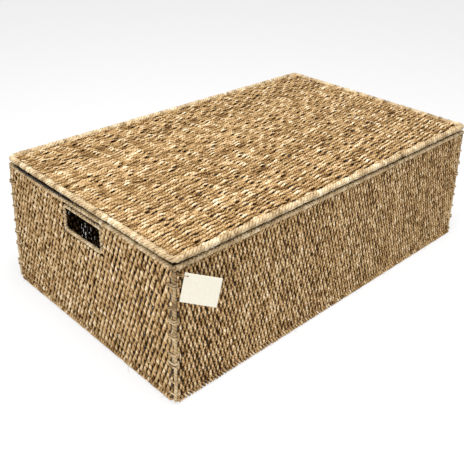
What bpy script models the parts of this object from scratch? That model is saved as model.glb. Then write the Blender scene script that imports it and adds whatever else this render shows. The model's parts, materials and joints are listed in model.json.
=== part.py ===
"""A seagrass storage trunk: six woven panels on welded wire frames, lashed into a box with a hinged lid.

X runs along the trunk, -Y is its front and +Z is up.
The origin is under the middle of the base, on the floor.
"""

import math

import bmesh
import bpy
from mathutils import Vector

# Overall sizes, in metres
TRUNK_LENGTH = 0.740
TRUNK_DEPTH = 0.450
RIM_HEIGHT = 0.230
CLEARANCE = 0.0003

# Wire frames
ROD_RADIUS = 0.0020
WIRE_RADIUS = 0.0015
WALL_BEND = 0.004
LID_BEND = 0.010
ROD_PAIR_SPACING = 0.008
WALL_WIRE_SPACING = 0.0245
LID_WIRE_SPACING = 0.030
BASE_WIRE_SPACING = 0.080

# How far a welded wire's end goes past the middle of the rod it meets
WELD_DEPTH = 0.0006

# Seagrass
WEAVE_THICKNESS = 0.0104
WEAVE_EDGE = 0.0025
BINDING_RADIUS = 0.006
LASHING_CORD_RADIUS = 0.0014
HINGE_CORD_RADIUS = 0.0014
HINGE_OFFSET = 0.225

# Hand holes
HANDLE_WIDTH = 0.092
HANDLE_HEIGHT = 0.034
HANDLE_BEND = 0.008
HANDLE_BINDING_RADIUS = 0.0045
HANGER_OFFSET = 0.030

# Swing tag
TAG_WIDTH = 0.050
TAG_HEIGHT = 0.046
TAG_THICKNESS = 0.0008
TAG_HOLE_RADIUS = 0.0015
TAG_HOLE_INSET = 0.005
TAG_STRING_RADIUS = 0.00045
TAG_STRING_REACH = 0.0125
TAG_STRING_DROP = 0.0061
TAG_TURN = math.radians(-44)
TAG_TILT = math.radians(-9.4)

# Facets
ROD_BEVEL_STEPS = 2
WIRE_BEVEL_STEPS = 1
BEND_STEPS = 3
PROFILE_STEPS = 12
BORE_STEPS = 6
LASHING_ARC_POINTS = 6

# Places that follow from the sizes above
BORE_RADIUS = max(ROD_RADIUS, WIRE_RADIUS) + CLEARANCE
SLOT_HALF = WIRE_RADIUS + CLEARANCE
LASHING_PATH_RADIUS = ROD_RADIUS + CLEARANCE + LASHING_CORD_RADIUS
LASHING_REACH = LASHING_PATH_RADIUS + LASHING_CORD_RADIUS
HINGE_PATH_RADIUS = ROD_RADIUS + CLEARANCE + HINGE_CORD_RADIUS
BASE_PLANE = LASHING_REACH + CLEARANCE
RIM_ROD = RIM_HEIGHT - BINDING_RADIUS
LID_PLANE = RIM_HEIGHT + CLEARANCE + BINDING_RADIUS
FRONT_PLANE = TRUNK_DEPTH / 2 - BINDING_RADIUS
END_PLANE = TRUNK_LENGTH / 2 - BINDING_RADIUS
WALL_RISE = RIM_ROD - BASE_PLANE
END_UPRIGHT = FRONT_PLANE - ROD_PAIR_SPACING

parts = bpy.data.collections.new("seagrass_storage_trunk")
cutters = bpy.data.collections.new("cutters")


def clear_scene():
    for old in list(bpy.data.objects):
        bpy.data.objects.remove(old, do_unlink=True)
    bpy.context.scene.collection.children.link(parts)
    bpy.context.scene.collection.children.link(cutters)


def material(name, colour, roughness, metallic=0.0):
    made = bpy.data.materials.new(name)
    made.use_nodes = True
    shader = made.node_tree.nodes["Principled BSDF"]
    shader.inputs["Base Color"].default_value = (*colour, 1.0)
    shader.inputs["Roughness"].default_value = roughness
    shader.inputs["Metallic"].default_value = metallic
    return made


def empty(name, place=(0, 0, 0), turn=(0, 0, 0), parent=None):
    made = bpy.data.objects.new(name, None)
    made.location = place
    made.rotation_euler = turn
    made.parent = parent
    parts.objects.link(made)
    return made


def finish(piece, anchor, finish_material):
    """Puts a piece on its anchor with its material."""
    if anchor:
        piece.parent = anchor
    piece.data.materials.clear()
    piece.data.materials.append(finish_material)
    return piece


def as_helper(piece):
    """Turns a shape into a helper that only Booleans use."""
    piece.hide_render = True
    piece.display_type = "WIRE"
    for holder in list(piece.users_collection):
        holder.objects.unlink(piece)
    cutters.objects.link(piece)
    return piece


def poly_curve(name, points, closed):
    data = bpy.data.curves.new(name, "CURVE")
    data.dimensions = "3D"
    spline = data.splines.new("POLY")
    spline.points.add(len(points) - 1)
    for point, place in zip(spline.points, points):
        point.co = (*place, 1.0)
    spline.use_cyclic_u = closed
    made = bpy.data.objects.new(name, data)
    parts.objects.link(made)
    return made


def tube(name, points, radius, bevel, closed=False):
    made = poly_curve(name, points, closed)
    made.data.bevel_depth = radius
    made.data.bevel_resolution = bevel
    made.data.use_fill_caps = not closed
    return made


def as_mesh(curve):
    """The curve's own shape as a mesh with its caps welded on, in place of the curve."""
    bpy.context.view_layer.update()
    graph = bpy.context.evaluated_depsgraph_get()
    mesh = bpy.data.meshes.new_from_object(curve.evaluated_get(graph))
    shape = bmesh.new()
    shape.from_mesh(mesh)
    bmesh.ops.remove_doubles(shape, verts=shape.verts, dist=1e-6)
    bmesh.ops.recalc_face_normals(shape, faces=shape.faces)
    shape.to_mesh(mesh)
    shape.free()
    name = curve.name
    made = bpy.data.objects.new(name + "_mesh", mesh)
    made.matrix_world = curve.matrix_world
    parts.objects.link(made)
    bpy.data.objects.remove(curve, do_unlink=True)
    made.name = name
    return made


def joined(name, pieces):
    """Several shapes that don't touch, as one helper mesh."""
    shape = bmesh.new()
    for piece in pieces:
        shape.from_mesh(piece.data)
        bpy.data.objects.remove(piece, do_unlink=True)
    mesh = bpy.data.meshes.new(name)
    shape.to_mesh(mesh)
    shape.free()
    return bpy.data.objects.new(name, mesh)


def box(name, low, high, corner=0.0):
    """A box between two corners, with its upright edges rounded where a corner radius is given."""
    size = Vector(high) - Vector(low)
    shape = bmesh.new()
    bmesh.ops.create_cube(shape, size=1.0)
    bmesh.ops.scale(shape, vec=size, verts=shape.verts)
    bmesh.ops.translate(shape, vec=(Vector(high) + Vector(low)) / 2, verts=shape.verts)
    if corner > 0:
        upright = [edge for edge in shape.edges if edge.verts[0].co.xy == edge.verts[1].co.xy]
        bmesh.ops.bevel(shape, geom=upright, offset=corner, segments=BEND_STEPS, profile=0.5, affect="EDGES")
    mesh = bpy.data.meshes.new(name)
    shape.to_mesh(mesh)
    shape.free()
    made = bpy.data.objects.new(name, mesh)
    parts.objects.link(made)
    return made


def boolean(piece, other, operation):
    as_helper(other)
    other.parent = piece.parent
    step = piece.modifiers.new(other.name, "BOOLEAN")
    step.operation = operation
    step.object = other


def rounded_rectangle(half_width, half_height, bend, centre=(0, 0)):
    """Points of a rectangle with round corners, in its own plane."""
    corners = ((1, 1, 0), (-1, 1, 90), (-1, -1, 180), (1, -1, 270))
    points = []
    for side, level, start in corners:
        for step in range(BEND_STEPS + 1):
            angle = math.radians(start + 90 * step / BEND_STEPS)
            across = centre[0] + side * (half_width - bend) + bend * math.cos(angle)
            up = centre[1] + level * (half_height - bend) + bend * math.sin(angle)
            points.append((across, up, 0))
    return points


def binding_profile(name, outer, bore, slot_half, slot_side):
    """A ring section round a rod, open on one side for the wires that meet the rod."""
    slot_outer = math.asin(slot_half / outer)
    slot_bore = math.asin(slot_half / bore)
    points = []
    for step in range(PROFILE_STEPS + 1):
        angle = slot_outer + (2 * math.pi - 2 * slot_outer) * step / PROFILE_STEPS
        points.append((slot_side * outer * math.cos(angle), outer * math.sin(angle), 0))
    for step in range(BORE_STEPS + 1):
        angle = -slot_bore - (2 * math.pi - 2 * slot_bore) * step / BORE_STEPS
        points.append((slot_side * bore * math.cos(angle), bore * math.sin(angle), 0))
    made = poly_curve(name, points, True)
    made.data.dimensions = "2D"
    return as_helper(made)


def binding(name, path, profile, anchor, closed=False):
    """A wrapped cord sleeve: the open ring section, swept along its rod."""
    made = poly_curve(name, path, closed)
    made.data.bevel_mode = "OBJECT"
    made.data.bevel_object = profile
    made.data.use_fill_caps = not closed
    return finish(as_mesh(made), anchor, bound_seagrass)


def spread(span, spacing):
    """Places of evenly spaced wires between two rods, and of the bays between them, from the middle."""
    bays = max(2, round(span / spacing))
    wires = [-span / 2 + span * step / bays for step in range(1, bays)]
    middles = [-span / 2 + span * (step + 0.5) / bays for step in range(bays)]
    return wires, middles


def welded_frame(name, loop, wires, anchor, handle=None):
    """A bent rod loop with straight wires welded across it, and a hand hole's ring where there is one."""
    frame = as_mesh(tube(name, loop, ROD_RADIUS, ROD_BEVEL_STEPS, closed=True))
    frame.parent = anchor
    lines = [as_mesh(tube(name + "_wire", ends, WIRE_RADIUS, WIRE_BEVEL_STEPS)) for ends in wires]
    boolean(frame, joined(name + "_wires", lines), "UNION")
    if handle:
        ring, hangers = handle
        boolean(frame, as_mesh(tube(name + "_ring", ring, ROD_RADIUS, ROD_BEVEL_STEPS, closed=True)), "UNION")
        lines = [as_mesh(tube(name + "_hanger", ends, WIRE_RADIUS, WIRE_BEVEL_STEPS)) for ends in hangers]
        boolean(frame, joined(name + "_hangers", lines), "UNION")
    return finish(frame, anchor, frame_wire)


def woven_sleeve(name, low, high, along_x, anchor, corner=0.0):
    """A woven panel: cords on both faces of the wires, which run through it from edge to edge."""
    sleeve = box(name, low, high, corner)
    sleeve.parent = anchor
    slot_low = Vector(low)
    slot_high = Vector(high)
    through = 0 if along_x else 1
    across = 1 - through
    slot_low[through] -= BINDING_RADIUS
    slot_high[through] += BINDING_RADIUS
    slot_low[across] += WEAVE_EDGE
    slot_high[across] -= WEAVE_EDGE
    slot_low[2] = -SLOT_HALF
    slot_high[2] = SLOT_HALF
    boolean(sleeve, box(name + "_channel", slot_low, slot_high), "DIFFERENCE")
    return finish(sleeve, anchor, woven_seagrass)


def wall(name, half_rod, anchor, handle=False):
    """A wall's frame and weave in its own plane, with its middle height at the anchor."""
    half_rise = WALL_RISE / 2
    loop = rounded_rectangle(half_rod, half_rise, WALL_BEND)
    levels, _ = spread(WALL_RISE, WALL_WIRE_SPACING)
    ring_half_width = HANDLE_WIDTH / 2 + HANDLE_BINDING_RADIUS
    ring_half_height = HANDLE_HEIGHT / 2 + HANDLE_BINDING_RADIUS
    ring_reach = ring_half_height + HANDLE_BINDING_RADIUS + CLEARANCE
    ring_level = half_rise - BINDING_RADIUS - ring_reach
    wire_room = HANDLE_BINDING_RADIUS + WIRE_RADIUS + CLEARANCE
    wires = []
    for level in levels:
        ends = ((-half_rod - WELD_DEPTH, level, 0), (half_rod + WELD_DEPTH, level, 0))
        from_ring = abs(level - ring_level)
        if not handle or from_ring > ring_half_height + wire_room:
            wires.append(ends)
        elif from_ring < ring_half_height - max(wire_room, HANDLE_BEND):
            wires.append((ends[0], (WELD_DEPTH - ring_half_width, level, 0)))
            wires.append(((ring_half_width - WELD_DEPTH, level, 0), ends[1]))
    edge = half_rod - LASHING_REACH - CLEARANCE
    low = (-edge, -half_rise + LASHING_REACH + CLEARANCE, -WEAVE_THICKNESS / 2)
    high = (edge, half_rise - BINDING_RADIUS - CLEARANCE, WEAVE_THICKNESS / 2)
    if not handle:
        welded_frame(name + "_frame", loop, wires, anchor)
        woven_sleeve(name + "_weave", low, high, True, anchor)
        return
    ring = rounded_rectangle(ring_half_width, ring_half_height, HANDLE_BEND, (0, ring_level))
    hanger_low = ring_level + ring_half_height - WELD_DEPTH
    hanger_high = half_rise + WELD_DEPTH
    hangers = [
        ((place, hanger_low, 0), (place, hanger_high, 0))
        for place in (-HANGER_OFFSET, HANGER_OFFSET)
    ]
    welded_frame(name + "_frame", loop, wires, anchor, (ring, hangers))
    sleeve = woven_sleeve(name + "_weave", low, high, True, anchor)
    notch_half = ring_half_width + HANDLE_BINDING_RADIUS + CLEARANCE
    notch_low = (-notch_half, ring_level - ring_reach, -WEAVE_THICKNESS)
    notch_high = (notch_half, half_rise, WEAVE_THICKNESS)
    boolean(sleeve, box(name + "_notch", notch_low, notch_high), "DIFFERENCE")
    binding(name + "_handle_binding", ring, handle_profile, anchor, closed=True)


def lashing(name, first_rod, second_rod, along, crossing, places, rise):
    """A cord wound round two parallel rods. It goes from the first to the second on the crossing side.
    rise gives how far each point of a turn is from that turn's place, as a share of the pitch."""
    first_rod = Vector(first_rod)
    second_rod = Vector(second_rod)
    along = Vector(along)
    outward = (second_rod - first_rod).normalized()
    side = -Vector(crossing)
    turn = []
    for centre, facing in ((first_rod, -1), (second_rod, 1)):
        for step in range(LASHING_ARC_POINTS):
            angle = math.pi * step / (LASHING_ARC_POINTS - 1) - math.pi / 2
            reach = facing * (outward * math.cos(angle) + side * math.sin(angle))
            turn.append(centre + LASHING_PATH_RADIUS * reach)
    lengths = [(turn[(i + 1) % len(turn)] - turn[i]).length for i in range(len(turn))]
    passed = [sum(lengths[:i]) / sum(lengths) for i in range(len(turn))]
    pitch = places[1] - places[0]
    points = []
    for number in range(len(places) + 1):
        for place, share in zip(turn, rise(passed)):
            turns = number + share
            if 0 <= turns <= len(places) - 1:
                points.append(place + along * (places[0] + pitch * turns))
    report_least_gap(name, points, len(turn))
    made = tube(name, points, LASHING_CORD_RADIUS, WIRE_BEVEL_STEPS)
    return finish(made, None, lashing_cord)


def report_least_gap(name, points, turn_points):
    """Prints how near a winding comes to itself, measured between points at least half a turn apart."""
    least = min(
        (points[j] - points[i]).length
        for i in range(len(points))
        for j in range(i + turn_points // 2 + 1, min(len(points), i + 2 * turn_points))
    )
    print(f"{name}: least gap to itself {1000 * (least - 2 * LASHING_CORD_RADIUS):.2f} mm")


def even_rise(passed):
    """A turn that climbs all the way round, at its place in the middle of the second rod's arc."""
    middle = LASHING_ARC_POINTS + LASHING_ARC_POINTS // 2
    level = (passed[middle - 1] + passed[middle]) / 2
    return [share - level for share in passed]


def corner_rise(passed):
    """A turn that stays level through the bays of both walls and climbs round the outside of the corner."""
    start = LASHING_ARC_POINTS - 2
    end = LASHING_ARC_POINTS + LASHING_ARC_POINTS // 2
    climb = 1 - (passed[end] - passed[start])
    before = [(share - passed[start]) / climb for share in passed[:start]]
    after = [(share - passed[end]) / climb for share in passed[end + 1:]]
    return before + [0.0] * (end + 1 - start) + after


def corner_lashings():
    """A cord wound up each corner through every bay but the top one."""
    _, middles = spread(WALL_RISE, WALL_WIRE_SPACING)
    places = [BASE_PLANE + WALL_RISE / 2 + middle for middle in middles[:-1]]
    for level, front_name in ((-1, "front"), (1, "back")):
        for side, end_name in ((-1, "left"), (1, "right")):
            wall_upright = (side * END_PLANE, level * FRONT_PLANE, 0)
            end_upright = (side * END_PLANE, level * END_UPRIGHT, 0)
            name = f"{front_name}_{end_name}_corner_lashing"
            lashing(name, wall_upright, end_upright, (0, 0, 1), (-side, 0, 0), places, corner_rise)


def base_panel():
    anchor = empty("base_anchor", (0, 0, BASE_PLANE))
    half_x = END_PLANE - ROD_PAIR_SPACING
    half_y = FRONT_PLANE - ROD_PAIR_SPACING
    places, middles = spread(2 * half_x, BASE_WIRE_SPACING)
    end = half_y + WELD_DEPTH
    wires = [((place, -end, 0), (place, end, 0)) for place in places]
    welded_frame("base_frame", rounded_rectangle(half_x, half_y, WALL_BEND), wires, anchor)
    edge_x = half_x - LASHING_REACH - CLEARANCE
    edge_y = half_y - LASHING_REACH - CLEARANCE
    low = (-edge_x, -edge_y, -BASE_PLANE)
    high = (edge_x, edge_y, WEAVE_THICKNESS / 2)
    woven_sleeve("base_weave", low, high, False, anchor)
    for level, name in ((-1, "front"), (1, "back")):
        wall_rod = (0, level * FRONT_PLANE, BASE_PLANE)
        base_rod = (0, level * half_y, BASE_PLANE)
        lashing(name + "_base_lashing", wall_rod, base_rod, (1, 0, 0), (0, 0, 1), middles, even_rise)
    _, middles = spread(2 * half_y, BASE_WIRE_SPACING)
    for side, name in ((-1, "left"), (1, "right")):
        wall_rod = (side * END_PLANE, 0, BASE_PLANE)
        base_rod = (side * half_x, 0, BASE_PLANE)
        lashing(name + "_base_lashing", wall_rod, base_rod, (0, 1, 0), (0, 0, 1), middles, even_rise)


def hinge_places():
    """The bays of the lid's frame nearest to the hinge offset, where no wire meets the back rod."""
    _, middles = spread(2 * END_PLANE, LID_WIRE_SPACING)
    right = min(middles, key=lambda middle: abs(middle - HINGE_OFFSET))
    return -right, right


def split_runs(half_run):
    """A straight run along the back, parted where the hinge loops pass."""
    left, right = hinge_places()
    gap = HINGE_CORD_RADIUS + CLEARANCE
    return {
        "left": (-half_run, left - gap),
        "middle": (left + gap, right - gap),
        "right": (right + gap, half_run),
    }


def walls():
    front_half = END_PLANE - WALL_BEND - CLEARANCE
    end_half = END_UPRIGHT - WALL_BEND - CLEARANCE
    middle_height = BASE_PLANE + WALL_RISE / 2
    quarter = math.pi / 2
    rim = WALL_RISE / 2
    front = empty("front_anchor", (0, -FRONT_PLANE, middle_height), (quarter, 0, 0))
    back = empty("back_anchor", (0, FRONT_PLANE, middle_height), (quarter, 0, math.pi))
    left = empty("left_anchor", (-END_PLANE, 0, middle_height), (quarter, 0, -quarter))
    right = empty("right_anchor", (END_PLANE, 0, middle_height), (quarter, 0, quarter))
    wall("front", END_PLANE, front)
    wall("back", END_PLANE, back)
    wall("left_end", END_UPRIGHT, left, handle=True)
    wall("right_end", END_UPRIGHT, right, handle=True)
    straight_rims = (("front", front_half, front), ("left", end_half, left), ("right", end_half, right))
    for name, half, anchor in straight_rims:
        binding(name + "_rim_binding", [(-half, rim, 0), (half, rim, 0)], rim_profile, anchor)
    for name, run in split_runs(front_half).items():
        path = [(-run[1], rim, 0), (-run[0], rim, 0)]
        binding(f"back_rim_binding_{name}", path, rim_profile, back)


def lid():
    pivot = empty("lid_pivot", (0, FRONT_PLANE, LID_PLANE))
    anchor = empty("lid_anchor", (0, -FRONT_PLANE, 0), parent=pivot)
    loop = rounded_rectangle(END_PLANE, FRONT_PLANE, LID_BEND)
    places, _ = spread(2 * END_PLANE, LID_WIRE_SPACING)
    end = FRONT_PLANE + WELD_DEPTH
    wires = [((place, -end, 0), (place, end, 0)) for place in places]
    welded_frame("lid_frame", loop, wires, anchor)
    edge_x = END_PLANE - BINDING_RADIUS - CLEARANCE
    edge_y = FRONT_PLANE - BINDING_RADIUS - CLEARANCE
    low = (-edge_x, -edge_y, -WEAVE_THICKNESS / 2)
    high = (edge_x, edge_y, WEAVE_THICKNESS / 2)
    woven_sleeve("lid_weave", low, high, False, anchor, LID_BEND - BINDING_RADIUS - CLEARANCE)
    runs = split_runs(END_PLANE)
    corner = BEND_STEPS + 1
    border_start = (runs["left"][1], FRONT_PLANE, 0)
    border_end = (runs["right"][0], FRONT_PLANE, 0)
    border = [border_start, *loop[corner:], *loop[:corner], border_end]
    binding("lid_border_binding", border, lid_profile, anchor)
    back = [(end, FRONT_PLANE, 0) for end in reversed(runs["middle"])]
    binding("lid_back_binding", back, lid_profile, anchor)


def hinge_loops():
    """A cord loop round the lid's back rod and the rim rod under it, in each gap of the bindings."""
    for place, name in zip(hinge_places(), ("left", "right")):
        points = []
        for centre, start in ((LID_PLANE, 0), (RIM_ROD, math.pi)):
            for step in range(LASHING_ARC_POINTS + 1):
                angle = start + math.pi * step / LASHING_ARC_POINTS
                across = FRONT_PLANE + HINGE_PATH_RADIUS * math.cos(angle)
                points.append((place, across, centre + HINGE_PATH_RADIUS * math.sin(angle)))
        loop_piece = tube(f"{name}_hinge_loop", points, HINGE_CORD_RADIUS, WIRE_BEVEL_STEPS, closed=True)
        finish(loop_piece, None, lashing_cord)


def swing_tag():
    """A bare card on a string loop round the front left upright, leaning out from the corner."""
    upright = Vector((-END_PLANE, -FRONT_PLANE, RIM_ROD - TAG_STRING_DROP))
    right = Vector((math.cos(TAG_TURN), math.sin(TAG_TURN), 0))
    facing = Vector((math.sin(TAG_TURN), -math.cos(TAG_TURN), 0))
    round_rod = ROD_RADIUS + CLEARANCE + TAG_STRING_RADIUS
    off_card = TAG_THICKNESS / 2 + TAG_STRING_RADIUS + 2 * CLEARANCE
    reach = max(LASHING_REACH, WEAVE_THICKNESS / 2) + CLEARANCE
    knee = Vector((0, -reach - round_rod, 0))
    hole = knee + TAG_STRING_REACH * right
    before_card = knee + TAG_STRING_REACH / 4 * right
    half = round_rod / math.sqrt(2)
    route = [
        Vector((0, round_rod, 0)),
        Vector((half, half, 0)),
        Vector((round_rod, 0, 0)),
        Vector((round_rod, -reach, 0)),
        before_card - off_card * facing,
        hole - off_card * facing,
        hole + off_card * facing,
        before_card + off_card * facing,
        Vector((-round_rod, -reach, 0)),
        Vector((-round_rod, 0, 0)),
        Vector((-half, half, 0)),
    ]
    points = [upright + step for step in route]
    string = tube("tag_string", points, TAG_STRING_RADIUS, WIRE_BEVEL_STEPS, closed=True)
    finish(string, None, tag_twine)
    hang = Vector((0, 0, TAG_HOLE_RADIUS - TAG_STRING_RADIUS - CLEARANCE))
    pivot = empty("tag_pivot", upright + hole - hang, (math.pi / 2, 0, TAG_TURN))
    data = bpy.data.curves.new("tag_card", "CURVE")
    data.dimensions = "2D"
    data.fill_mode = "BOTH"
    data.extrude = TAG_THICKNESS / 2
    left_edge = -TAG_HOLE_INSET
    top_edge = TAG_HOLE_INSET
    outline = (
        (left_edge, top_edge - TAG_HEIGHT),
        (left_edge + TAG_WIDTH, top_edge - TAG_HEIGHT),
        (left_edge + TAG_WIDTH, top_edge),
        (left_edge, top_edge),
    )
    angles = [2 * math.pi * step / PROFILE_STEPS for step in range(PROFILE_STEPS)]
    punched = [(TAG_HOLE_RADIUS * math.cos(angle), TAG_HOLE_RADIUS * math.sin(angle)) for angle in angles]
    for ring in (outline, punched):
        spline = data.splines.new("POLY")
        spline.points.add(len(ring) - 1)
        for point, place in zip(spline.points, ring):
            point.co = (*place, 0, 1)
        spline.use_cyclic_u = True
    card = bpy.data.objects.new("tag_card", data)
    card.rotation_euler = (0, 0, TAG_TILT)
    parts.objects.link(card)
    finish(card, pivot, plain_card)


clear_scene()
woven_seagrass = material("woven_seagrass", (0.52, 0.36, 0.18), 0.75)
bound_seagrass = material("bound_seagrass", (0.60, 0.44, 0.24), 0.70)
lashing_cord = material("lashing_cord", (0.62, 0.48, 0.28), 0.70)
frame_wire = material("frame_wire", (0.05, 0.04, 0.03), 0.45, 0.8)
plain_card = material("plain_card", (0.90, 0.88, 0.82), 0.85)
tag_twine = material("tag_twine", (0.75, 0.68, 0.52), 0.80)
rim_profile = binding_profile("rim_section", BINDING_RADIUS, BORE_RADIUS, SLOT_HALF, 1)
lid_profile = binding_profile("lid_section", BINDING_RADIUS, BORE_RADIUS, SLOT_HALF, -1)
handle_profile = binding_profile("handle_section", HANDLE_BINDING_RADIUS, BORE_RADIUS, SLOT_HALF, 1)
walls()
base_panel()
corner_lashings()
lid()
hinge_loops()
swing_tag()
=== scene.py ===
# Seagrass storage trunk: dresses the wire frames with woven cords, wraps, lashings and a bare card tag
import json
import math

import bpy
import numpy as np
from mathutils import Matrix, Vector


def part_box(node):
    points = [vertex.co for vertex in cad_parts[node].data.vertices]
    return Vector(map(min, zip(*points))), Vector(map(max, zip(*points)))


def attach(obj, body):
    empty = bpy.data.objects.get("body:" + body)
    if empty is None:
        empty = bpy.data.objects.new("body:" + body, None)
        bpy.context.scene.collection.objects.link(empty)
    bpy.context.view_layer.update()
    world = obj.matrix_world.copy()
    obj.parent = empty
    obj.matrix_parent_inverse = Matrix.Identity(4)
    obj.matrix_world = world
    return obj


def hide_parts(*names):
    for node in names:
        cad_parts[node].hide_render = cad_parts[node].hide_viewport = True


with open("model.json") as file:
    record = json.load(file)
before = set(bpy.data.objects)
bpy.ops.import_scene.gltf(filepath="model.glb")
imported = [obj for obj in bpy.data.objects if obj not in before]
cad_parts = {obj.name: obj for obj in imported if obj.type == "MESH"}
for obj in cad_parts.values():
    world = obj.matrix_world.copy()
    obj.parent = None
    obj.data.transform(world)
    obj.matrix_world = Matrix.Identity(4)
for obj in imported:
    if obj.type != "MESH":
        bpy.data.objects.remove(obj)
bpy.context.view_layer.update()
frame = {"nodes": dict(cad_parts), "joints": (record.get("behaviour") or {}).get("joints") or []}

bpy.context.scene.view_settings.view_transform = "Standard"


# The planes and rods that the frames give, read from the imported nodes
def nodeMiddle(node):
    low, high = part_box(node)
    return (low + high) / 2


endPlane = nodeMiddle("right_end_frame").x        # middle of the right end's wires
frontPlane = nodeMiddle("back_frame").y           # middle of the back wall's wires
lidPlane = nodeMiddle("lid_frame").z
basePlane = nodeMiddle("base_frame").z
rodRadius = (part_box("lid_frame")[1].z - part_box("lid_frame")[0].z) / 2
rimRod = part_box("front_frame")[1].z - rodRadius
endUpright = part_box("left_end_frame")[1].y - rodRadius
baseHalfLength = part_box("base_frame")[1].x - rodRadius
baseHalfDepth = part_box("base_frame")[1].y - rodRadius
print("frame read: half length %.3f, half depth %.3f, rim %.3f" % (endPlane, frontPlane, rimRod))


# Cords: every strand is a swept oval, built in groups with the same number of rings
def unit(v):
    return v / np.maximum(np.linalg.norm(v, axis=-1, keepdims=True), 1e-12)


def sweptGroup(centre, side, lift, tone, sides=6, closed=False):
    centre = np.asarray(centre, float)
    count, rings = centre.shape[:2]
    following = np.roll(centre, -1, axis=1)
    tangent = following[:, 0] - centre[:, 0]
    leftHanded = np.einsum("ij,ij->i", np.cross(side[:, 0], lift[:, 0]), tangent) < 0
    lift = np.where(leftHanded[:, None, None], -lift, lift)
    angle = np.arange(sides) * 2 * math.pi / sides
    offset = side[:, :, None, :] * np.cos(angle)[None, None, :, None]
    offset = offset + lift[:, :, None, :] * np.sin(angle)[None, None, :, None]
    points = (centre[:, :, None, :] + offset).reshape(-1, 3)
    number = np.arange(count * rings * sides).reshape(count, rings, sides)
    nextRing = np.roll(number, -1, axis=1)
    nextSide = np.roll(number, -1, axis=2)
    nextBoth = np.roll(nextRing, -1, axis=2)
    spans = rings if closed else rings - 1
    quads = np.stack([number, nextSide, nextBoth, nextRing], axis=-1)[:, :spans].reshape(-1, 4)
    step = np.linalg.norm(following - centre, axis=2)
    along = np.concatenate([np.zeros((count, 1)), np.cumsum(step, axis=1)], axis=1)
    here = np.repeat(along[:, :spans, None], sides, axis=2)
    after = np.repeat(along[:, 1:spans + 1, None], sides, axis=2)
    turnA = np.broadcast_to(np.arange(sides) / sides, here.shape)
    turnB = turnA + 1 / sides
    us = np.stack([here, here, after, after], axis=-1)
    vs = np.stack([turnA, turnB, turnB, turnA], axis=-1)
    uv = np.stack([us, vs], axis=-1).reshape(-1, 2)
    caps = []
    if not closed:
        caps = number[:, 0, ::-1].tolist() + number[:, -1].tolist()
    tones = np.repeat(np.asarray(tone, float), sides, axis=1)
    return {"points": points, "quads": quads, "caps": caps, "uv": uv, "tone": tones.ravel(), "sides": sides}


def cordPiece(name, groups, body, material, slot, *nodes):
    points, faces, caps, uvs, capUvs, tones = [], [], [], [], [], []
    base = 0
    for group in groups:
        points.append(group["points"])
        faces += (group["quads"] + base).tolist()
        caps += [[corner + base for corner in cap] for cap in group["caps"]]
        uvs.append(group["uv"])
        capUvs += [(0.0, k / group["sides"]) for cap in group["caps"] for k in range(len(cap))]
        tones.append(group["tone"])
        base += len(group["points"])
    mesh = bpy.data.meshes.new(name)
    mesh.from_pydata(np.concatenate(points).tolist(), [], faces + caps)
    layer = mesh.uv_layers.new(name="cordMap")
    allUv = np.concatenate(uvs + ([np.array(capUvs)] if capUvs else []))
    layer.data.foreach_set("uv", allUv.ravel())
    mesh.attributes.new("tone", "FLOAT", "POINT").data.foreach_set("value", np.concatenate(tones))
    mesh.polygons.foreach_set("use_smooth", [True] * len(mesh.polygons))
    mesh.materials.append(material)
    mesh.update()
    piece = bpy.data.objects.new(name, mesh)
    bpy.context.scene.collection.objects.link(piece)
    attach(piece, body)
    if nodes:
        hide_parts(*nodes)
    print("made %s: %d faces" % (name, len(mesh.polygons)))
    return piece


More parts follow.
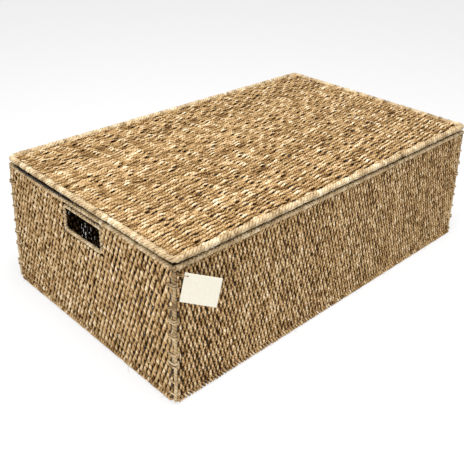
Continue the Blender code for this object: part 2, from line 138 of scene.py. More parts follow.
# Dry seagrass: straw to brown along each strand, two plies twisted together with painted shade in the grooves
# between them, matt
def seagrass(name, shades, plyTurn=150.0, bumpDepth=0.0007):
    made = bpy.data.materials.new(name)
    made.use_nodes = True
    nodes, links = made.node_tree.nodes, made.node_tree.links
    shader = nodes["Principled BSDF"]
    shader.inputs["Roughness"].default_value = 0.82
    shader.inputs["Specular IOR Level"].default_value = 0.1

    def math2(operation, first, second):
        node = nodes.new("ShaderNodeMath")
        node.operation = operation
        for socket, value in zip(node.inputs, (first, second)):
            if isinstance(value, (int, float)):
                socket.default_value = value
            else:
                links.new(value, socket)
        return node.outputs[0]

    tone = nodes.new("ShaderNodeAttribute")
    tone.attribute_name = "tone"
    cordMap = nodes.new("ShaderNodeUVMap")
    cordMap.uv_map = "cordMap"
    parts = nodes.new("ShaderNodeSeparateXYZ")
    links.new(cordMap.outputs[0], parts.inputs[0])
    twist = math2("MULTIPLY", parts.outputs[0], plyTurn)
    twist = math2("ADD", twist, math2("MULTIPLY", parts.outputs[1], 2.0))
    ply = math2("ABSOLUTE", math2("SINE", math2("MULTIPLY", twist, math.pi), 0.0), 0.0)
    fibreSpot = nodes.new("ShaderNodeCombineXYZ")
    links.new(math2("MULTIPLY", twist, 5.0), fibreSpot.inputs[0])
    links.new(math2("MULTIPLY", parts.outputs[0], 90.0), fibreSpot.inputs[1])
    links.new(math2("MULTIPLY", tone.outputs["Fac"], 80.0), fibreSpot.inputs[2])
    fibre = nodes.new("ShaderNodeTexNoise")
    fibre.inputs["Scale"].default_value = 1.0
    fibre.inputs["Detail"].default_value = 3.0
    links.new(fibreSpot.outputs[0], fibre.inputs["Vector"])
    place = nodes.new("ShaderNodeTexCoord")
    mottle = nodes.new("ShaderNodeTexNoise")
    mottle.inputs["Scale"].default_value = 70.0
    mottle.inputs["Detail"].default_value = 4.0
    links.new(place.outputs["Object"], mottle.inputs["Vector"])
    # painted shade: the colour is darkened in the grooves between the two plies, besides the bump
    groove = nodes.new("ShaderNodeMapRange")
    groove.inputs["From Max"].default_value = 0.5
    links.new(ply, groove.inputs["Value"])
    shade = math2("MULTIPLY", fibre.outputs["Fac"], 0.60)
    shade = math2("ADD", shade, math2("MULTIPLY", mottle.outputs["Fac"], 0.60))
    shade = math2("ADD", shade, math2("MULTIPLY", tone.outputs["Fac"], 0.55))
    shade = math2("ADD", shade, math2("MULTIPLY", groove.outputs[0], 0.40))
    shade = math2("SUBTRACT", shade, 0.72)
    ramp = nodes.new("ShaderNodeValToRGB")
    stops = ramp.color_ramp.elements
    for place01 in (0.3, 0.6):
        stops.new(place01)
    for stop, colour in zip(stops, shades):
        stop.color = (*colour, 1.0)
    links.new(shade, ramp.inputs[0])
    links.new(ramp.outputs[0], shader.inputs["Base Color"])
    bump = nodes.new("ShaderNodeBump")
    bump.inputs["Strength"].default_value = 0.8
    bump.inputs["Distance"].default_value = bumpDepth
    links.new(math2("ADD", ply, math2("MULTIPLY", fibre.outputs["Fac"], 0.5)), bump.inputs["Height"])
    links.new(bump.outputs[0], shader.inputs["Normal"])
    return made


weaveShades = ((0.040, 0.016, 0.003), (0.28, 0.155, 0.056), (0.57, 0.385, 0.185), (0.98, 0.85, 0.63))
wrapShades = ((0.060, 0.030, 0.012), (0.33, 0.225, 0.115), (0.56, 0.425, 0.250), (0.86, 0.76, 0.57))
wovenCord = seagrass("wovenSeagrass", weaveShades)
wrapCord = seagrass("wrappedSeagrass", wrapShades)
rimCord = seagrass("rimSeagrass", wrapShades)
tieCord = seagrass("lashingSeagrass", wrapShades, plyTurn=190.0, bumpDepth=0.0005)
print("seagrass finishes ready")


# Woven panels: strands side by side, each passing over and under, with its neighbour opposite to it
weave = {
    "strandHalf": 0.0018,
    "swing": 0.0006,            # how far a strand swings to each side as it turns
    "wideOutside": 1.30,
    "wideBetween": 1.22,
    "wideInside": 2.05,         # a strand spreads flat where it lies on the inside
    "creviceShade": 3.60,       # painted shade: strands are coloured darker where they lie deep
    "darkest": -0.9,
    "grainsPerTurn": 5,         # patches of one shade along a strand
    "tone": 0.62,
    "grainScatter": 0.20,
    "strandScatter": 0.08,
    "slip": 0.36,               # how far a pair is out of step with the others, in radians
    "slipRate": 29,             # rates are in radians for each metre of strand
    "wander": 0.0005,           # how far a pair strays to each side
    "wanderRate": 38,
    "rowScatter": 0.0002,
    "thickScatter": 0.09,
    "thickWave": 0.13,
    "thickRate": 83,
}


def wovenGroups(axes, run, row, wires, seed, lean=1, hole=None):
    origin, runWay, rowWay, outWay = [np.array(v, float) for v in axes]
    rng = np.random.default_rng(seed)
    count = int(round((row[1] - row[0]) / wires["pairPitch"]))
    pitch = (row[1] - row[0]) / count
    rows = row[0] + pitch * (np.arange(count) + 0.5)
    ends = np.full(count, run[1])
    if hole:
        ends[np.abs(rows) < hole["half"]] = hole["top"]
    groups = []
    for end in sorted(set(ends.tolist())):
        pick = rows[ends == end][:, None]
        some = len(pick)
        rings = int(round((end - run[0]) / wires["ringStep"])) + 1
        at = np.linspace(run[0], end, rings)[None, :] + np.zeros((some, 1))
        drift = rng.uniform(0, 2 * math.pi, (some, 1))
        slip = rng.normal(0, weave["slip"], (some, 1))
        slip = slip + weave["slip"] * np.sin(at * weave["slipRate"] + drift)
        middle = pick + weave["wander"] * np.sin(at * weave["wanderRate"] + 2 * drift)
        middle = middle + rng.normal(0, weave["rowScatter"], (some, 1))
        for strand in (0, 1):
            turn = math.pi * (2 * (at - wires["first"]) / wires["turnLength"] + strand) + slip
            phase = rng.uniform(0, 2 * math.pi, (2, some, 1))
            thick = 1 + rng.normal(0, weave["thickScatter"], (some, 1))
            thick = thick + weave["thickWave"] * np.sin(at * weave["thickRate"] + phase[0])
            half = weave["strandHalf"] * thick
            lane = pitch * (0.25 - 0.5 * strand)
            sideways = middle + lane + lean * weave["swing"] * np.sin(turn)
            rise = np.cos(turn) + wires["over"]
            press = (np.abs(rise) / (1 + np.sign(rise) * wires["over"])) ** wires["sharpness"]
            depth = wires["bulge"] * press * np.sign(rise)
            centre = (
                origin
                + at[..., None] * runWay
                + sideways[..., None] * rowWay
                + depth[..., None] * outWay
            )
            grain = (at - run[0]) / wires["turnLength"] * weave["grainsPerTurn"] + phase[1]
            shades = rng.normal(weave["tone"], weave["grainScatter"], (some, int(grain.max()) + 1))
            shades = shades + rng.normal(0, weave["strandScatter"], (some, 1))
            tone = np.take_along_axis(shades, grain.astype(int), axis=1)
            facing = np.where(rise > 0, weave["wideOutside"], weave["wideInside"])
            wide = weave["wideBetween"] + (facing - weave["wideBetween"]) * press
            side = (wide * half * pitch / (4 * weave["strandHalf"]))[..., None] * rowWay
            lift = half[..., None] * outWay
            group = sweptGroup(centre, side, lift, tone)
            # painted shade: each strand's surface is coloured darker the deeper it lies below the outer faces
            # of the weave, from either side
            height = (group["points"] - origin) @ outWay
            outside = height > np.repeat(depth.ravel(), group["sides"]) - 1e-6
            sunk = wires["bulge"] + weave["strandHalf"] - np.where(outside, height, -height)
            crevice = np.clip(sunk / (2 * wires["bulge"]), 0, 1)
            shade = weave["creviceShade"] * crevice ** wires["deepening"]
            group["tone"] = np.clip(group["tone"] - shade, weave["darkest"], 1)
            groups.append(group)
    return groups


walls = {
    "bays": 9,
    "turnsPerBay": 1.0,
    "low": 0.0098,
    "high": rimRod - 0.0010,    # the strands end inside the rim's wrapping
    "clearOfRope": 0.0026,
    "pastRod": 0.0048,
}
wallStep = (rimRod - basePlane) / walls["bays"]
wallWires = {
    "first": basePlane,
    "turnLength": wallStep / walls["turnsPerBay"],
    "pairPitch": 0.0075,
    "bulge": 0.0014,            # how far a strand moves out and in
    "sharpness": 1.4,           # how short the rise over a wire is
    "deepening": 4.0,           # how late a strand's painted shade falls off as it goes deep
    "over": 0.30,               # how much more of a strand lies outside than inside
    "ringStep": 0.0020,
}
endWires = {**wallWires, "pairPitch": 0.0090, "bulge": 0.0024, "sharpness": 1.8, "deepening": 3.7}
wallRun = (walls["low"], walls["high"])
frontHalf = endPlane - walls["clearOfRope"]
endHalf = endUpright + walls["pastRod"]
handHole = {
    "half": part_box("left_end_handle_binding")[1].y - 0.001,
    "top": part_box("left_end_handle_binding")[0].z + 0.001,
}
up, alongX, alongY = (0, 0, 1), (1, 0, 0), (0, 1, 0)

frontAxes = ((0, -frontPlane, 0), up, alongX, (0, -1, 0))
backAxes = ((0, frontPlane, 0), up, alongX, (0, 1, 0))
halves = (("Left", (-frontHalf, 0.0)), ("Right", (0.0, frontHalf)))
for number, (half, row) in enumerate(halves):
    cordPiece("front" + half + "Cords", wovenGroups(frontAxes, wallRun, row, wallWires, 11 + number, -0.05),
              "trunk", wovenCord, "seagrass_weave", "front_weave")
    cordPiece("back" + half + "Cords", wovenGroups(backAxes, wallRun, row, wallWires, 18 + number, 0.05),
              "trunk", wovenCord, "seagrass_weave", "back_weave")
leftAxes = ((-endPlane, 0, 0), up, alongY, (-1, 0, 0))
cordPiece("leftEndCords", wovenGroups(leftAxes, wallRun, (-endHalf, endHalf), endWires, 13, -0.8, handHole),
          "trunk", wovenCord, "seagrass_weave", "left_end_weave")
rightAxes = ((endPlane, 0, 0), up, alongY, (1, 0, 0))
cordPiece("rightEndCords", wovenGroups(rightAxes, wallRun, (-endHalf, endHalf), endWires, 14, 0.8, handHole),
          "trunk", wovenCord, "seagrass_weave", "right_end_weave")

base = {"bays": 9, "turnsPerBay": 1.5, "inset": 0.0052}
baseWires = {
    "first": -baseHalfLength,
    "turnLength": 2 * baseHalfLength / base["bays"] / base["turnsPerBay"],
    "pairPitch": 0.0075,
    "bulge": 0.0024,
    "sharpness": 2.0,
    "deepening": 4.0,
    "over": 0.0,
    "ringStep": 0.0034,
}
baseRun = (-baseHalfLength + base["inset"], baseHalfLength - base["inset"])
baseRow = (-baseHalfDepth + base["inset"], baseHalfDepth - base["inset"])
baseAxes = ((0, 0, basePlane), alongX, alongY, (0, 0, -1))
for number, (half, row) in enumerate((("Front", (baseRow[0], 0.0)), ("Back", (0.0, baseRow[1])))):
    cordPiece("base" + half + "Cords", wovenGroups(baseAxes, baseRun, row, baseWires, 15 + 10 * number),
              "trunk", wovenCord, "seagrass_weave", "base_weave")

lid = {"bays": 24, "turnsPerBay": 0.5, "inset": 0.0056}
lidWires = {
    "first": -endPlane,
    "turnLength": 2 * endPlane / lid["bays"] / lid["turnsPerBay"],
    "pairPitch": 0.0077,
    "bulge": 0.0024,
    "sharpness": 6.0,
    "deepening": 4.0,
    "over": 0.25,
    "ringStep": 0.0020,
}
lidRun = (-endPlane + lid["inset"], endPlane - lid["inset"])
lidRow = (-frontPlane + lid["inset"], frontPlane - lid["inset"])
lidAxes = ((0, 0, lidPlane), alongX, alongY, up)
thirds = np.linspace(lidRow[0], lidRow[1], 4)
for number, third in enumerate(("Front", "Middle", "Back")):
    row = (thirds[number], thirds[number + 1])
    cordPiece("lid" + third + "Cords", wovenGroups(lidAxes, lidRun, row, lidWires, 21 + number, 0.8),
              "lid", wovenCord, "seagrass_weave", "lid_weave")
print("woven panels ready")


# Wraps: a cord wound close round a rod, seen as a smooth roll with fine cross ribs
wrap = {
    "ribPitch": 0.0070,
    "ringsPerRib": 8,
    "ribDepth": 0.0022,
    "splitDepth": 0.0010,
    "lean": 0.6,
    "sides": 12,
    "looseScatter": 0.16,
    "fatScatter": 0.055,
    "tone": 0.52,
    "toneScatter": 0.20,
}


def resampled(path, closed, step):
    path = np.array(path, float)
    if closed:
        path = np.vstack([path, path[:1]])
    lengths = np.linalg.norm(np.diff(path, axis=0), axis=1)
    along = np.concatenate([[0], np.cumsum(lengths)])
    count = max(int(round(along[-1] / step)), 2)
    spots = np.linspace(0, along[-1], count + 1)
    points = np.stack([np.interp(spots, along, path[:, k]) for k in range(3)], axis=1)
    if closed:
        points, spots = points[:-1], spots[:-1]
    return points, spots


def wrappedRod(path, radius, upWay, seed, closed=False, under=1.0):
    rng = np.random.default_rng(seed)
    points, spots = resampled(path, closed, wrap["ribPitch"] / wrap["ringsPerRib"])
    rings, sides = len(points), wrap["sides"]
    if closed:
        tangent = unit(np.roll(points, -1, axis=0) - np.roll(points, 1, axis=0))
    else:
        tangent = unit(np.gradient(points, axis=0))
    lift = np.broadcast_to(np.array(upWay, float), points.shape)
    side = unit(np.cross(lift, tangent))
    lift = np.cross(tangent, side)
    turns = spots / wrap["ribPitch"]
    ribs = int(turns[-1]) + 3
    loose = np.interp(turns, np.arange(ribs), rng.normal(0, wrap["looseScatter"], ribs))
    fat = np.interp(turns, np.arange(ribs), rng.normal(0, wrap["fatScatter"], ribs))
    angle = np.arange(sides) / sides
    rib = turns[:, None] + wrap["lean"] * np.abs(angle[None, :] - 0.5) * 2 + loose[:, None]
    groove = (1 - np.abs(np.sin(math.pi * rib))) ** 1.5
    split = (1 - np.abs(np.cos(math.pi * rib))) ** 2
    size = radius * (0.96 + fat[:, None]) - wrap["ribDepth"] * groove - wrap["splitDepth"] * split
    group = sweptGroup(points[None], side[None], lift[None], np.full((1, rings), 0.5), sides, closed)
    spread = (group["points"].reshape(rings, sides, 3) - points[:, None, :]) * size[..., None]
    fall = np.minimum(np.einsum("ijk,ik->ij", spread, lift), 0)
    spread = spread - (1 - under) * fall[..., None] * lift[:, None, :]
    group["points"] = (points[:, None, :] + spread).reshape(-1, 3)
    ribTone = rng.normal(wrap["tone"], wrap["toneScatter"], ribs)
    tone = ribTone[np.floor(turns + 0.5).astype(int)]
    group["tone"] = np.repeat(np.clip(tone, 0, 1), sides)
    alongRod, round01 = group["uv"].T
    acrossCord = alongRod / wrap["ribPitch"] + wrap["lean"] * np.abs(round01 - 0.5) * 2
    group["uv"] = np.stack([round01 * 2 * math.pi * radius, acrossCord / 2], axis=1)
    return group


def roundedLoop(halfA, halfB, bend, steps=8):
    points = []
    for signA, signB, start in ((1, 1, 0), (-1, 1, 90), (-1, -1, 180), (1, -1, 270)):
        for step in range(steps + 1):
            angle = math.radians(start + 90 * step / steps)
            points.append((signA * (halfA - bend) + bend * math.cos(angle),
                           signB * (halfB - bend) + bend * math.sin(angle)))
    return points


rim = {
    "radius": 0.0046,
    "pastEnd": 0.0016,
    "endGap": 0.0048,
    "leftRadius": 0.0044,
    "leftSag": 0.0034,
    "sagSpots": (0, 0.35, 0.75, 0.92, 1),
    "sagShares": (0, 0, 1, 0.8, 0.3),
    "pathPoints": 40,
}


def rimWrap(name, start, end, seed, node, radius=rim["radius"], sag=0.0):
    start, end = np.array((*start, rimRod), float), np.array((*end, rimRod), float)
    share = np.linspace(0, 1, rim["pathPoints"])[:, None]
    path = start + (end - start) * share
    path[:, 2] -= sag * np.interp(share[:, 0], rim["sagSpots"], rim["sagShares"])
    cordPiece(name, [wrappedRod(path, radius, up, seed)], "trunk", rimCord, "seagrass_binding", node)


rimFront = endPlane + rim["pastEnd"]
rimEnd = frontPlane - rim["endGap"]
rimWrap("frontRimWrap", (-rimFront, -frontPlane), (rimFront, -frontPlane), 21, "front_rim_binding")
rimWrap("leftRimWrap", (-endPlane, -rimEnd), (-endPlane, rimEnd), 22, "left_rim_binding",
        rim["leftRadius"], rim["leftSag"])
rimWrap("rightRimWrap", (endPlane, -rimEnd), (endPlane, rimEnd), 23, "right_rim_binding")
for number, side in enumerate(("left", "middle", "right")):
    node = "back_rim_binding_" + side
    low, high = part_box(node)
    startX = -rimFront if side == "left" else low.x
    endX = rimFront if side == "right" else high.x
    rimWrap(side + "BackRimWrap", (startX, frontPlane), (endX, frontPlane), 24 + number, node)

lidEdge = {"radius": 0.0060, "bend": 0.010, "under": 0.86}
loop = [(x, y, lidPlane) for x, y in roundedLoop(endPlane, frontPlane, lidEdge["bend"])]
corner = len(loop) // 4
hingeLow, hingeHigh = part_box("lid_back_binding")
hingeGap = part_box("left_hinge_loop")[1].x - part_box("left_hinge_loop")[0].x + 0.0006
borderPath = [
    (hingeLow.x - hingeGap, frontPlane, lidPlane),
    *loop[corner:],
    *loop[:corner],
    (hingeHigh.x + hingeGap, frontPlane, lidPlane),
]
backPath = [(hingeLow.x, frontPlane, lidPlane), (hingeHigh.x, frontPlane, lidPlane)]
for name, path, seed, node in (("lidBorderWrap", borderPath, 31, "lid_border_binding"),
                               ("lidBackWrap", backPath, 32, "lid_back_binding")):
    group = wrappedRod(path, lidEdge["radius"], up, seed, under=lidEdge["under"])
    cordPiece(name, [group], "lid", wrapCord, "seagrass_binding", node)

handle = {"wireInset": 0.0045, "radius": 0.0036, "bend": 0.006}
for name, node, wayOut in (("leftHandHoleWrap", "left_end_handle_binding", -1),
                           ("rightHandHoleWrap", "right_end_handle_binding", 1)):
    low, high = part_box(node)
    middle = (low + high) / 2
    halfWide = (high.y - low.y) / 2 - handle["wireInset"]
    halfHigh = (high.z - low.z) / 2 - handle["wireInset"]
    outline = roundedLoop(halfWide, halfHigh, handle["bend"])
    ring = [(middle.x, middle.y + y, middle.z + z) for y, z in outline]
    group = wrappedRod(ring, handle["radius"], (wayOut, 0, 0), 33, closed=True)
    cordPiece(name, [group], "trunk", wrapCord, "seagrass_binding", node)
print("wraps ready")


# Lashings: one cord wound round a pair of rods
def windingGroup(first, second, along, run, pitch, pathRadius, cordHalf, seed, perTurn=14):
    rng = np.random.default_rng(seed)
    first, second, along = [np.array(v, float) for v in (first, second, along)]
    across = unit(second - first)
    normal = np.cross(along, across)
    gap = np.linalg.norm(second - first)
    turns = (run[1] - run[0]) / pitch
    rings = int(turns * perTurn) + 1
    turn = np.linspace(0, turns, rings)
    angle = 2 * math.pi * turn
    sway = np.interp(turn, np.arange(int(turns) + 2), rng.normal(0, 0.16, int(turns) + 2))
    shift = np.clip(np.cos(angle) * 1.8, -1, 1) * gap / 2
    centre = (
        (first + second) / 2
        + (shift + pathRadius * np.cos(angle))[:, None] * across
        + (pathRadius * np.sin(angle))[:, None] * normal
        + (run[0] + pitch * (turn + sway))[:, None] * along
    )
    tangent = unit(np.gradient(centre, axis=0))
    outward = (pathRadius * np.cos(angle))[:, None] * across + (pathRadius * np.sin(angle))[:, None] * normal
    outward = unit(outward)
    side = unit(np.cross(tangent, outward))
    lift = np.cross(side, tangent)
    half = cordHalf * (1 + 0.10 * np.sin(turn * 5.1))
    turnTone = rng.normal(0.45, 0.25, int(turns) + 3)
    tone = np.clip(turnTone[np.floor(turn + 0.5).astype(int)], 0, 1)
    return sweptGroup(centre[None], (side * half[:, None])[None], (lift * half[:, None])[None], tone[None])


def ropeGroup(start, end, half, seed, rings=90):
    rng = np.random.default_rng(seed)
    start, end = np.array(start, float), np.array(end, float)
    share = np.linspace(0, 1, rings)
    tangent = unit(end - start)
    side = unit(np.cross(tangent, (0.31, 0.74, 0.60)))
    lift = np.cross(tangent, side)
    wander = 0.0003 * np.sin(share * 40 + rng.uniform(0, 6))
    centre = start + share[:, None] * (end - start) + wander[:, None] * side
    size = half * (1 + 0.05 * np.sin(share * 97))
    tone = np.interp(share, (0, 0.35, 0.55, 1), (0.62, 0.55, 0.18, 0.12))
    tone = np.clip(tone + 0.15 * np.sin(share * 33 + rng.uniform(0, 6)), 0, 1)
    return sweptGroup(centre[None], (side * size[:, None])[None], (lift * size[:, None])[None], tone[None], 8)


lashing = {
    "tiePitch": 0.0036,
    "tieRadius": 0.0041,
    "tieCord": 0.0012,
    "tieScatter": 0.004,
    "ropeHalf": 0.0026,
    "foot": 0.004,
    "fillFoot": 0.060,          # the second rope leaves the lowest part of the slot open
    "fillHalf": 0.0018,
    "fillInset": 0.0046,
    "underTag": 0.006,
    "basePitch": 0.0060,
    "baseRadius": 0.0036,
    "baseCord": 0.0019,
}
cornerSpots = (("front_left", -1, -1), ("front_right", 1, -1), ("back_left", -1, 1), ("back_right", 1, 1))
for number, (spot, sideX, sideY) in enumerate(cornerSpots):
    panelRod = (sideX * endPlane, sideY * frontPlane, 0)
    endRod = (sideX * endPlane, sideY * endUpright, 0)
    ropeTop = rimRod - rim["radius"]
    fillSpot = (panelRod[0], panelRod[1] - sideY * lashing["fillInset"])
    fillTop = ropeTop - lashing["underTag"]
    groups = [
        ropeGroup((*panelRod[:2], lashing["foot"]), (*panelRod[:2], ropeTop), lashing["ropeHalf"], 41 + number),
        ropeGroup((*fillSpot, lashing["fillFoot"]), (*fillSpot, fillTop), lashing["fillHalf"], 51 + number),
    ]
    rng = np.random.default_rng(61 + number)
    for bay in range(walls["bays"] - 1):
        tieRun = lashing["tiePitch"] * rng.integers(1, 3)
        tieFoot = basePlane + (bay + 0.5) * wallStep - tieRun / 2 + rng.normal(0, lashing["tieScatter"])
        groups.append(windingGroup(panelRod, endRod, up, (tieFoot, tieFoot + tieRun), lashing["tiePitch"],
                                   lashing["tieRadius"], lashing["tieCord"], 100 * number + bay))
    words = spot.split("_")
    name = words[0] + words[1].title() + "CornerLashing"
    cordPiece(name, groups, "trunk", tieCord, "lashing_cord", spot + "_corner_lashing")

baseSides = (
    ("front", (0, -frontPlane, basePlane), (0, -baseHalfDepth, basePlane), alongX, endPlane - 0.001),
    ("back", (0, frontPlane, basePlane), (0, baseHalfDepth, basePlane), alongX, endPlane - 0.001),
    ("left", (-endPlane, 0, basePlane), (-baseHalfLength, 0, basePlane), alongY, endUpright),
    ("right", (endPlane, 0, basePlane), (baseHalfLength, 0, basePlane), alongY, endUpright),
)
for number, (side, wallRod, baseRod, along, half) in enumerate(baseSides):
    groups = [windingGroup(wallRod, baseRod, along, (-half, half), lashing["basePitch"],
                           lashing["baseRadius"], lashing["baseCord"], 71 + number)]
    cordPiece(side + "BaseLashing", groups, "trunk", wovenCord, "lashing_cord", side + "_base_lashing")

hinge = {"cord": 0.0014, "step": 0.0012, "tone": 0.6}
for name, node in (("leftHingeLoop", "left_hinge_loop"), ("rightHingeLoop", "right_hinge_loop")):
    low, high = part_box(node)
    pathRadius = (high.y - low.y) / 2 - hinge["cord"]
    ring = []
    for centre, start in ((lidPlane, 0), (rimRod, 180)):
        for step in range(11):
            angle = math.radians(start + 18 * step)
            across = frontPlane + pathRadius * math.cos(angle)
            ring.append(((low.x + high.x) / 2, across, centre + pathRadius * math.sin(angle)))
    points = resampled(ring, True, hinge["step"])[0]
    tangent = unit(np.roll(points, -1, axis=0) - np.roll(points, 1, axis=0))
    side = np.broadcast_to(np.array(alongX, float), points.shape)
    lift = np.cross(tangent, side)
    tone = np.full((1, len(points)), hinge["tone"])
    side, lift = side * hinge["cord"], lift * hinge["cord"]
    group = sweptGroup(points[None], side[None], lift[None], tone, 8, True)
    cordPiece(name, [group], "trunk", tieCord, "lashing_cord", node)
print("lashings and hinge loops ready")


# Stray fibres: loose ends that stand off the weave and hang under the bottom edge
stray = {"half": 0.00028, "length": (0.007, 0.018), "rings": 7}


def strayGroup(start, way, seed, reach=None):
    rng = np.random.default_rng(seed)
    start, way = np.array(start, float), unit(np.array(way, float))
    share = np.linspace(0, 1, stray["rings"])
    bow = unit(np.cross(way, rng.normal(size=3)))
    reach = reach or rng.uniform(*stray["length"])
    centre = start + (share * reach)[:, None] * way + (0.25 * reach * share ** 2)[:, None] * bow
    lift = np.cross(way, bow)
    size = stray["half"] * (1 - 0.7 * share)[:, None]
    tone = np.full((1, stray["rings"]), rng.uniform(0.0, 0.7))
    return sweptGroup(centre[None], (bow * size)[None], (lift * size)[None], tone, 4)


strayRng = np.random.default_rng(81)
strayGroups = []
for number in range(90):
    sideX, sideY = strayRng.choice((-1, 1), 2)
    onLong = number % 3 > 0
    height = strayRng.uniform(0.012, rimRod) if number % 4 else basePlane
    if onLong:
        start = (strayRng.uniform(-endPlane, endPlane), sideY * (frontPlane + 0.004), height)
        way = strayRng.normal(0, 1, 3) + (0, 0.8 * sideY, -0.4)
    else:
        start = (sideX * (endPlane + 0.004), strayRng.uniform(-endUpright, endUpright), height)
        way = strayRng.normal(0, 1, 3) + (0.8 * sideX, 0, -0.4)
    way[2] = abs(way[2]) if height == basePlane else way[2]
    strayGroups.append(strayGroup(start, way, 900 + number))
strayGroups.append(strayGroup((-endPlane - 0.003, -0.110, 0.004), (-0.7, -0.7, -0.05), 1001, 0.021))
strayGroups.append(strayGroup((-0.120, -frontPlane - 0.003, 0.005), (0.25, -1.0, -0.05), 1002, 0.012))
cordPiece("strayFibres", strayGroups, "trunk", wovenCord, "seagrass_weave")

lidStray = []
for number in range(40):
    spotX, spotY = strayRng.uniform(-endPlane, endPlane), strayRng.uniform(-frontPlane, frontPlane)
    way = strayRng.normal(0, 1, 3) * (1, 1, 0.25) + (0, 0, 0.35)
    lidStray.append(strayGroup((spotX, spotY, lidPlane + 0.003), way, 1100 + number))
cordPiece("lidStrayFibres", lidStray, "lid", wovenCord, "seagrass_weave")
print("stray fibres ready")


# Swing tag: the bare card keeps its solid, and its string is a thin two-ply twine
tag = {
    "twine": 0.00045,
    "roundRod": 0.00285,
    "reach": 0.0055,
    "offCard": 0.00165,
    "clearOfHole": 0.00075,
    "step": 0.0010,
    "tone": 0.6,
}
tagJoint = next(joint for joint in frame["joints"] if joint["name"] == "tag_swing")
facing = np.array(tagJoint["axis"], float)
acrossCard = np.cross((0, 0, 1), facing)
holeSpot = np.array(tagJoint["pos_m"], float) + (0, 0, tag["clearOfHole"])
upright = np.array((-endPlane, -frontPlane, holeSpot[2]))
nearCard = upright + (0, -tag["reach"] - tag["roundRod"], 0)
nearCard = nearCard + 0.25 * np.dot(holeSpot - nearCard, acrossCard) * acrossCard
bend = tag["roundRod"] / math.sqrt(2)
route = [
    upright + (0, tag["roundRod"], 0),
    upright + (bend, bend, 0),
    upright + (tag["roundRod"], 0, 0),
    upright + (tag["roundRod"], -tag["reach"], 0),
    nearCard - tag["offCard"] * facing,
    holeSpot - tag["offCard"] * facing,
    holeSpot + tag["offCard"] * facing,
    nearCard + tag["offCard"] * facing,
    upright + (-tag["roundRod"], -tag["reach"], 0),
    upright + (-tag["roundRod"], 0, 0),
    upright + (-bend, bend, 0),
]
points = resampled(route, True, tag["step"])[0]
for _ in range(2):
    points = (np.roll(points, 1, axis=0) + 2 * points + np.roll(points, -1, axis=0)) / 4
tangent = unit(np.roll(points, -1, axis=0) - np.roll(points, 1, axis=0))
side = np.broadcast_to(np.array(up, float), points.shape)
lift = unit(np.cross(tangent, side))
twineShades = ((0.10, 0.055, 0.025), (0.20, 0.125, 0.060), (0.30, 0.195, 0.100), (0.42, 0.29, 0.16))
twine = seagrass("tagTwine", twineShades, plyTurn=420.0, bumpDepth=0.0002)
tone = np.full((1, len(points)), tag["tone"])
side, lift = side * tag["twine"], lift * tag["twine"]
tagString = sweptGroup(points[None], side[None], lift[None], tone, 6, True)
cordPiece("tagTwineLoop", [tagString], "trunk", twine, "tag_string", "tag_string")


# Finishes of the nodes that stay: lacquered wire and plain card
def speckled(name, light, dark, scale, roughness, bumpDepth):
    made = bpy.data.materials.new(name)
    made.use_nodes = True
    nodes, links = made.node_tree.nodes, made.node_tree.links
    shader = nodes["Principled BSDF"]
    shader.inputs["Roughness"].default_value = roughness
    place = nodes.new("ShaderNodeTexCoord")
    grain = nodes.new("ShaderNodeTexNoise")
    grain.inputs["Scale"].default_value = scale
    grain.inputs["Detail"].default_value = 5.0
    links.new(place.outputs["Object"], grain.inputs["Vector"])
    ramp = nodes.new("ShaderNodeValToRGB")
    ramp.color_ramp.elements[0].position = 0.3
    ramp.color_ramp.elements[1].position = 0.7
    ramp.color_ramp.elements[0].color = (*dark, 1.0)
    ramp.color_ramp.elements[1].color = (*light, 1.0)
    links.new(grain.outputs["Fac"], ramp.inputs[0])
    links.new(ramp.outputs[0], shader.inputs["Base Color"])
    bump = nodes.new("ShaderNodeBump")
    bump.inputs["Strength"].default_value = 0.4
    bump.inputs["Distance"].default_value = bumpDepth
    links.new(grain.outputs["Fac"], bump.inputs["Height"])
    links.new(bump.outputs[0], shader.inputs["Normal"])
    return made


lacqueredWire = speckled("lacqueredWire", (0.060, 0.042, 0.028), (0.022, 0.016, 0.012), 260.0, 0.7, 0.0002)
plainCard = speckled("plainCard", (0.688, 0.660, 0.558), (0.632, 0.595, 0.484), 420.0, 0.85, 0.0001)
for name, node in frame["nodes"].items():
    finish = plainCard if name == "tag_card" else lacqueredWire
    if name == "tag_card" or name.endswith("_frame"):
        node.data.materials.clear()
        node.data.materials.append(finish)
print("wire and card finishes ready")


# Studio: white floor that keeps a soft shadow, large soft lamps, camera at the photograph's angle
studio = {"floorSize": 12.0, "floorDrop": 0.0004, "floorGlow": 0.72, "worldLight": 0.375}


def lookingRay(nodes, links):
    rays = nodes.new("ShaderNodeLightPath")
    found = rays.outputs["Is Camera Ray"]
    for kind in ("Is Glossy Ray", "Is Transmission Ray"):
        either = nodes.new("ShaderNodeMath")
        either.operation = "MAXIMUM"
        links.new(found, either.inputs[0])
        links.new(rays.outputs[kind], either.inputs[1])
        found = either.outputs[0]
    return found


bpy.ops.mesh.primitive_plane_add(size=studio["floorSize"], location=(0, 0, -studio["floorDrop"]))
floor = bpy.context.object
floor.name = "studioFloor"
floorPaint = bpy.data.materials.new("studioWhite")
floorPaint.use_nodes = True
nodes, links = floorPaint.node_tree.nodes, floorPaint.node_tree.links
shader = nodes["Principled BSDF"]
shader.inputs["Base Color"].default_value = (0.9, 0.9, 0.9, 1)
shader.inputs["Roughness"].default_value = 0.9
glow = nodes.new("ShaderNodeEmission")
glow.inputs["Strength"].default_value = 1.0
mixer = nodes.new("ShaderNodeMixShader")
seen = nodes.new("ShaderNodeMath")
seen.operation = "MULTIPLY"
seen.inputs[1].default_value = studio["floorGlow"]
links.new(lookingRay(nodes, links), seen.inputs[0])
links.new(seen.outputs[0], mixer.inputs[0])
links.new(shader.outputs[0], mixer.inputs[1])
links.new(glow.outputs[0], mixer.inputs[2])
links.new(mixer.outputs[0], nodes["Material Output"].inputs["Surface"])
floor.data.materials.append(floorPaint)

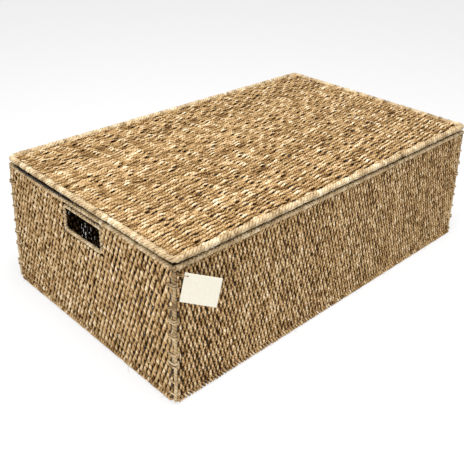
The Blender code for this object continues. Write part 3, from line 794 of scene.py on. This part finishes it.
world = bpy.data.worlds.new("studioWorld")
bpy.context.scene.world = world
world.use_nodes = True
nodes, links = world.node_tree.nodes, world.node_tree.links
sky = nodes["Background"]
sky.inputs["Color"].default_value = (1, 1, 1, 1)
level = nodes.new("ShaderNodeMapRange")
level.inputs["To Min"].default_value = studio["worldLight"]
level.inputs["To Max"].default_value = 1.0
links.new(lookingRay(nodes, links), level.inputs["Value"])
links.new(level.outputs[0], sky.inputs["Strength"])


def softLamp(name, place, aim, size, energy):
    bpy.ops.object.light_add(type="AREA", location=place)
    lamp = bpy.context.object
    lamp.name = name
    lamp.data.shape = "DISK"
    lamp.data.size = size
    lamp.data.energy = energy
    lamp.rotation_euler = (Vector(aim) - Vector(place)).to_track_quat("-Z", "Y").to_euler()


softLamp("overheadLamp", (-0.2, -0.3, 1.9), (0, 0, 0.1), 1.3, 45)
softLamp("leftFill", (-2.0, -0.9, 0.9), (0, 0, 0.1), 1.2, 21)

view = {"azimuth": -44.28, "elevation": 22.55, "roll": 1.28, "focal": 720.5, "image": 464.0, "sensor": 36.0,
        "distance": 1.3603, "slideRight": -0.0363, "slideUp": 0.1089, "shift": -92.9}
azimuth, elevation = math.radians(view["azimuth"]), math.radians(view["elevation"])
rightWay = Vector((math.cos(azimuth), math.sin(azimuth), 0))
level = math.cos(elevation)
backWay = Vector((math.sin(azimuth) * level, -math.cos(azimuth) * level, math.sin(elevation)))
upWay = backWay.cross(rightWay)
boxMiddle = Vector((0, 0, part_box("lid_border_binding")[1].z / 2))
cameraData = bpy.data.cameras.new("photoCamera")
cameraData.sensor_width = view["sensor"]
cameraData.lens = view["focal"] / view["image"] * view["sensor"]
cameraData.shift_y = view["shift"] / view["image"]
camera = bpy.data.objects.new("photoCamera", cameraData)
bpy.context.scene.collection.objects.link(camera)
spot = boxMiddle + view["distance"] * backWay + view["slideRight"] * rightWay + view["slideUp"] * upWay
turn = Matrix((rightWay, upWay, backWay)).transposed().to_4x4()
camera.matrix_world = Matrix.Translation(spot) @ turn @ Matrix.Rotation(math.radians(view["roll"]), 4, "Z")
bpy.context.scene.camera = camera
print("studio and camera ready")
